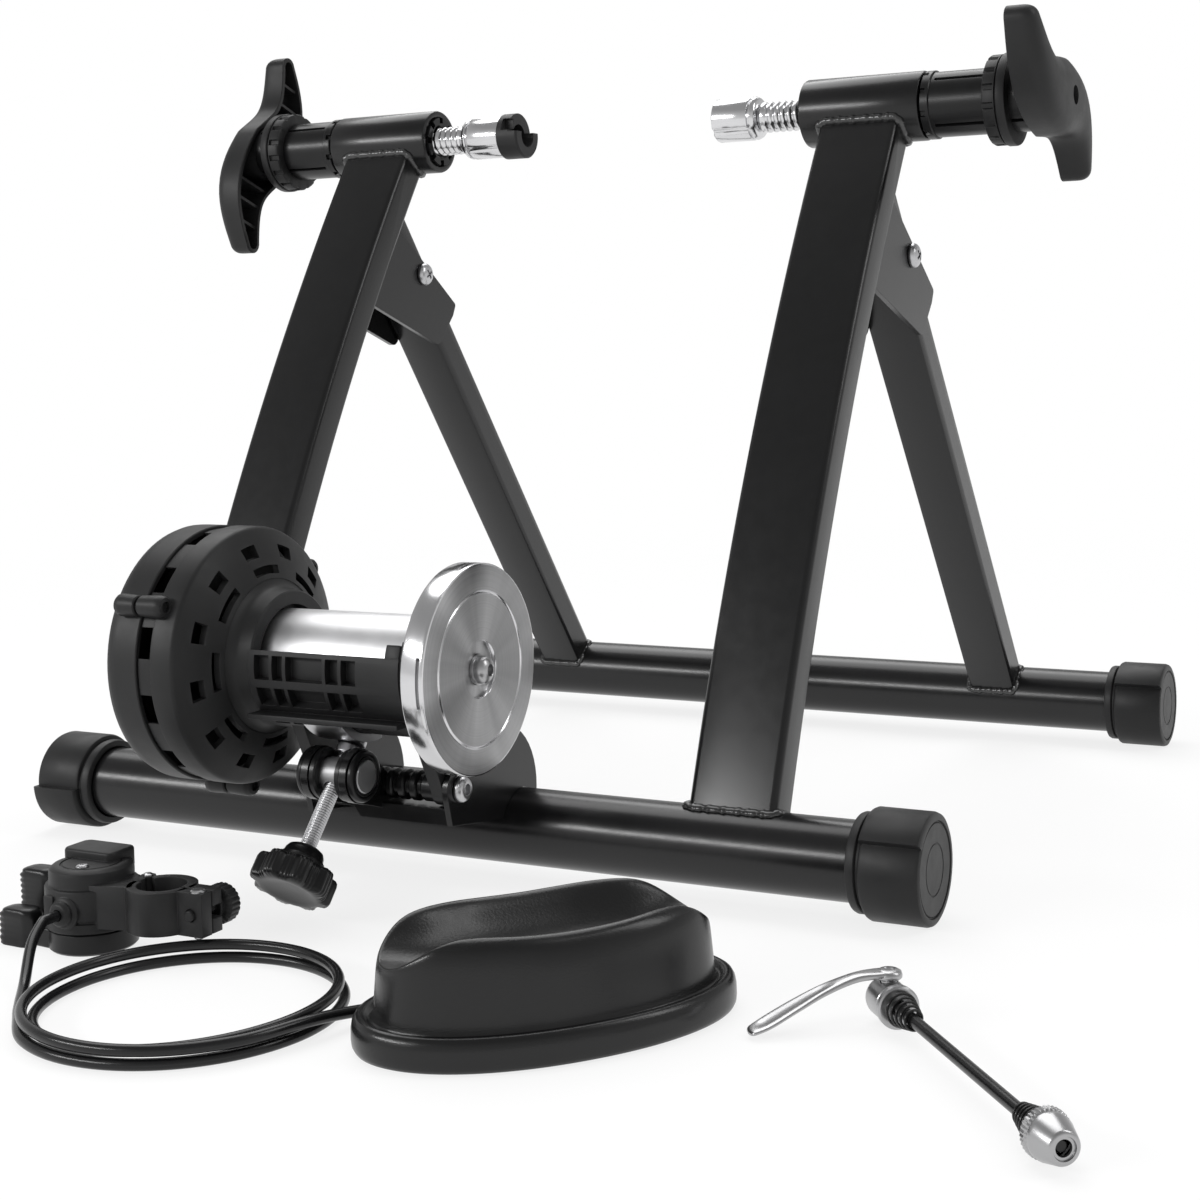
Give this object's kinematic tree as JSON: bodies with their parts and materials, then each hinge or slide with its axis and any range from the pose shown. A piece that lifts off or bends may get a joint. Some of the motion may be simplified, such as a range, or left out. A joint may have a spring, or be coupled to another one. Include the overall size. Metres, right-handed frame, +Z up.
{
  "type": "bicycle turbo trainer",
  "caption": "Folding indoor bicycle trainer with axle clamps, tilting magnetic roller unit, thumb shifter, front wheel block and axle skewer.",
  "frame": {"origin": "on the floor, at the centre of the footprint of the trainer and the loose pieces, without the cable", "axes": "+X to the right side seen from the front, +Y to the rear, +Z up"},
  "size_m": [0.6639, 0.7415, 0.4575],
  "materials": {
    "bar_strap": "fine grained black plastic",
    "conductor_disc": "turned",
    "flywheel": "polished",
    "flywheel_nut": "polished",
    "front_base_tube": "satin black powder coat",
    "front_left_foot": "matte black",
    "front_right_foot": "matte black",
    "head_spring": "zinc plated steel",
    "left_bearing": "zinc plated steel",
    "left_clamp_bushing": "fine grained black plastic",
    "left_clamp_housing": "satin black powder coat",
    "left_handle": "fine grained black plastic",
    "left_hinge_bolt": "zinc plated steel",
    "left_hinge_bracket": "satin black powder coat",
    "left_lock_ring": "fine grained black plastic",
    "left_rear_leg": "satin black powder coat",
    "left_sleeve": "fine grained black plastic",
    "left_spindle": "polished",
    "left_tip": "polished",
    "left_tip_insert": "fine grained black plastic",
    "left_upright": "satin black powder coat",
    "left_yoke_bushing": "fine grained black plastic",
    "magnet_plate": "zinc plated steel",
    "nut_spring": "zinc plated steel",
    "outer_shell": "fine grained black plastic",
    "rear_base_tube": "satin black powder coat",
    "rear_left_foot": "matte black",
    "rear_right_foot": "matte black",
    "right_bearing": "zinc plated steel",
    "right_clamp_bushing": "fine grained black plastic",
    "right_clamp_housing": "satin black powder coat",
    "right_handle": "fine grained black plastic",
    "right_hinge_bolt": "zinc plated steel",
    "right_hinge_bracket": "satin black powder coat",
    "right_lock_ring": "fine grained black plastic",
    "right_rear_leg": "satin black powder coat",
    "right_sleeve": "fine grained black plastic",
    "right_spindle": "polished",
    "right_tip": "polished",
    "right_upright": "satin black powder coat",
    "right_yoke_bushing": "fine grained black plastic",
    "roller": "polished",
    "roller_carrier": "fine grained black plastic",
    "rotor_axle": "zinc plated steel",
    "screw_barrel": "polished",
    "screw_cap": "zinc plated steel",
    "shifter_body": "fine grained black plastic",
    "shifter_cable": "fine grained black plastic",
    "skewer_head": "polished",
    "skewer_lever": "polished",
    "skewer_nut": "polished",
    "skewer_rod": "satin black powder coat",
    "tension_knob": "fine grained black plastic",
    "tension_pad": "zinc plated steel",
    "tension_rod": "polished",
    "thumb_lever": "fine grained black plastic",
    "thumb_screw": "fine grained black plastic",
    "unit_bracket": "satin black powder coat",
    "unit_pivot_bolt": "zinc plated steel",
    "wheel_block": "fine grained black plastic"
  },
  "bodies": {
    "base_frame": {"front_base_tube": "front_base_tube", "left_upright": "left_upright", "right_upright": "right_upright", "left_clamp_housing": "left_clamp_housing", "right_clamp_housing": "right_clamp_housing", "left_clamp_bushing": "left_clamp_bushing", "right_clamp_bushing": "right_clamp_bushing", "left_hinge_bracket": "left_hinge_bracket", "right_hinge_bracket": "right_hinge_bracket", "left_hinge_bolt": "left_hinge_bolt", "right_hinge_bolt": "right_hinge_bolt", "unit_bracket": "unit_bracket", "unit_pivot_bolt": "unit_pivot_bolt", "left_yoke_bushing": "left_yoke_bushing", "right_yoke_bushing": "right_yoke_bushing"},
    "rear_frame": {"rear_base_tube": "rear_base_tube", "left_rear_leg": "left_rear_leg", "right_rear_leg": "right_rear_leg"},
    "front_left_cap": {"front_left_foot": "front_left_foot"},
    "front_right_cap": {"front_right_foot": "front_right_foot"},
    "rear_left_cap": {"rear_left_foot": "rear_left_foot"},
    "rear_right_cap": {"rear_right_foot": "rear_right_foot"},
    "left_thrust": {"left_tip": "left_tip", "left_tip_insert": "left_tip_insert"},
    "right_thrust": {"right_tip": "right_tip"},
    "left_screw": {"left_spindle": "left_spindle", "left_sleeve": "left_sleeve", "left_handle": "left_handle"},
    "right_screw": {"right_spindle": "right_spindle", "right_sleeve": "right_sleeve", "right_handle": "right_handle"},
    "left_jam_ring": {"left_lock_ring": "left_lock_ring"},
    "right_jam_ring": {"right_lock_ring": "right_lock_ring"},
    "carrier": {"roller_carrier": "roller_carrier", "outer_shell": "outer_shell", "left_bearing": "left_bearing", "right_bearing": "right_bearing", "tension_pad": "tension_pad"},
    "rotor": {"rotor_axle": "rotor_axle", "conductor_disc": "conductor_disc", "roller": "roller", "flywheel": "flywheel", "flywheel_nut": "flywheel_nut"},
    "magnets": {"magnet_plate": "magnet_plate"},
    "trunnion": {"screw_barrel": "screw_barrel"},
    "pusher": {"screw_cap": "screw_cap"},
    "tensioner": {"tension_rod": "tension_rod", "tension_knob": "tension_knob"},
    "shifter": {"shifter_body": "shifter_body", "shifter_cable": "shifter_cable"},
    "shift_lever": {"thumb_lever": "thumb_lever"},
    "strap": {"bar_strap": "bar_strap"},
    "strap_screw": {"thumb_screw": "thumb_screw"},
    "block": {"wheel_block": "wheel_block"},
    "skewer": {"skewer_rod": "skewer_rod", "skewer_head": "skewer_head", "head_spring": "head_spring", "nut_spring": "nut_spring"},
    "cam_lever": {"skewer_lever": "skewer_lever"},
    "cone_nut": {"skewer_nut": "skewer_nut"}
  },
  "joints": [
    {"name": "fold", "type": "hinge", "parent": "base_frame", "child": "rear_frame", "pos_m": [-0.0568, 0.1091, 0.3115], "axis": [-1, 0, 0], "range_deg": [0, 60]},
    {"name": "front_left_level", "type": "hinge", "parent": "base_frame", "child": "front_left_cap", "pos_m": [-0.2988, -0.0979, 0.026], "axis": [1, 0, 0], "continuous": true},
    {"name": "front_right_level", "type": "hinge", "parent": "base_frame", "child": "front_right_cap", "pos_m": [0.1852, -0.0979, 0.026], "axis": [1, 0, 0], "continuous": true},
    {"name": "rear_left_level", "type": "hinge", "parent": "rear_frame", "child": "rear_left_cap", "pos_m": [-0.3113, 0.3221, 0.026], "axis": [1, 0, 0], "continuous": true},
    {"name": "rear_right_level", "type": "hinge", "parent": "rear_frame", "child": "rear_right_cap", "pos_m": [0.1977, 0.3221, 0.026], "axis": [1, 0, 0], "continuous": true},
    {"name": "left_thrust_slide", "type": "slide", "parent": "base_frame", "child": "left_thrust", "axis": [-1, 0, 0], "range_m": [0, 0.018]},
    {"name": "left_screw_turn", "type": "hinge", "parent": "left_thrust", "child": "left_screw", "pos_m": [-0.2158, 0.1021, 0.393], "axis": [-1, 0, 0], "range_deg": [0, 1620]},
    {"name": "left_jam_ring_turn", "type": "hinge", "parent": "left_screw", "child": "left_jam_ring", "pos_m": [-0.2938, 0.1021, 0.393], "axis": [-1, 0, 0], "continuous": true},
    {"name": "right_thrust_slide", "type": "slide", "parent": "base_frame", "child": "right_thrust", "axis": [1, 0, 0], "range_m": [0, 0.018]},
    {"name": "right_screw_turn", "type": "hinge", "parent": "right_thrust", "child": "right_screw", "pos_m": [0.1022, 0.1021, 0.393], "axis": [1, 0, 0], "range_deg": [0, 1620]},
    {"name": "right_jam_ring_turn", "type": "hinge", "parent": "right_screw", "child": "right_jam_ring", "pos_m": [0.1802, 0.1021, 0.393], "axis": [1, 0, 0], "continuous": true},
    {"name": "unit_tilt", "type": "hinge", "parent": "base_frame", "child": "carrier", "pos_m": [-0.0568, -0.1549, 0.057], "axis": [1, 0, 0], "range_deg": [-15, 3]},
    {"name": "rotor_spin", "type": "hinge", "parent": "carrier", "child": "rotor", "pos_m": [-0.0568, -0.1629, 0.117], "axis": [1, 0, 0], "continuous": true},
    {"name": "magnet_slide", "type": "slide", "parent": "carrier", "child": "magnets", "axis": [1, 0, 0], "range_m": [0, 0.007]},
    {"name": "trunnion_tilt", "type": "hinge", "parent": "base_frame", "child": "trunnion", "pos_m": [-0.0568, -0.1789, 0.065], "axis": [1, 0, 0], "range_deg": [-6.5, 1.5]},
    {"name": "push_slide", "type": "slide", "parent": "trunnion", "child": "pusher", "axis": [0, 0.6691, 0.7431], "range_m": [-0.0012, 0.0058]},
    {"name": "knob_turn", "type": "hinge", "parent": "pusher", "child": "tensioner", "pos_m": [-0.0678, -0.1789, 0.065], "axis": [0, 0.6691, 0.7431], "range_deg": [-350, 1670]},
    {"name": "shifter_lift", "type": "slide", "parent": "base_frame", "child": "shifter", "axis": [0, 0, 1], "range_m": [0, 0.3]},
    {"name": "lever_shift", "type": "hinge", "parent": "shifter", "child": "shift_lever", "pos_m": [-0.1408, -0.2699, 0.005], "axis": [0, 0, 1], "range_deg": [-30, 30]},
    {"name": "strap_open", "type": "hinge", "parent": "shifter", "child": "strap", "pos_m": [-0.1158, -0.26065, 0.022], "axis": [0, 0, 1], "range_deg": [0, 8.1]},
    {"name": "strap_screw_back", "type": "slide", "parent": "shifter", "child": "strap_screw", "axis": [0, 1, 0], "range_m": [0, 0.006]},
    {"name": "block_lift", "type": "slide", "parent": "base_frame", "child": "block", "axis": [0, 0, 1], "range_m": [0, 0.3]},
    {"name": "skewer_lift", "type": "slide", "parent": "base_frame", "child": "skewer", "axis": [0, 0, 1], "range_m": [0, 0.3]},
    {"name": "cam_lever_open", "type": "hinge", "parent": "skewer", "child": "cam_lever", "pos_m": [0.22669, -0.22402, 0.009], "axis": [0, 0, 1], "range_deg": [-90, 0]},
    {"name": "cone_nut_turn", "type": "hinge", "parent": "skewer", "child": "cone_nut", "pos_m": [0.32204, -0.32992, 0.009], "axis": [0.6691, -0.7431, 0], "continuous": true}
  ],
  "couplings": [
    {"joint": "left_screw_turn", "follows": "left_thrust_slide", "rad_per_m": 1570.8},
    {"joint": "right_screw_turn", "follows": "right_thrust_slide", "rad_per_m": 1570.8},
    {"joint": "trunnion_tilt", "follows": "unit_tilt", "ratio": 0.39},
    {"joint": "push_slide", "follows": "unit_tilt", "m_per_rad": -0.0219},
    {"joint": "knob_turn", "follows": "unit_tilt", "ratio": -110.08},
    {"joint": "strap_open", "follows": "strap_screw_back", "rad_per_m": 23.3}
  ]
}
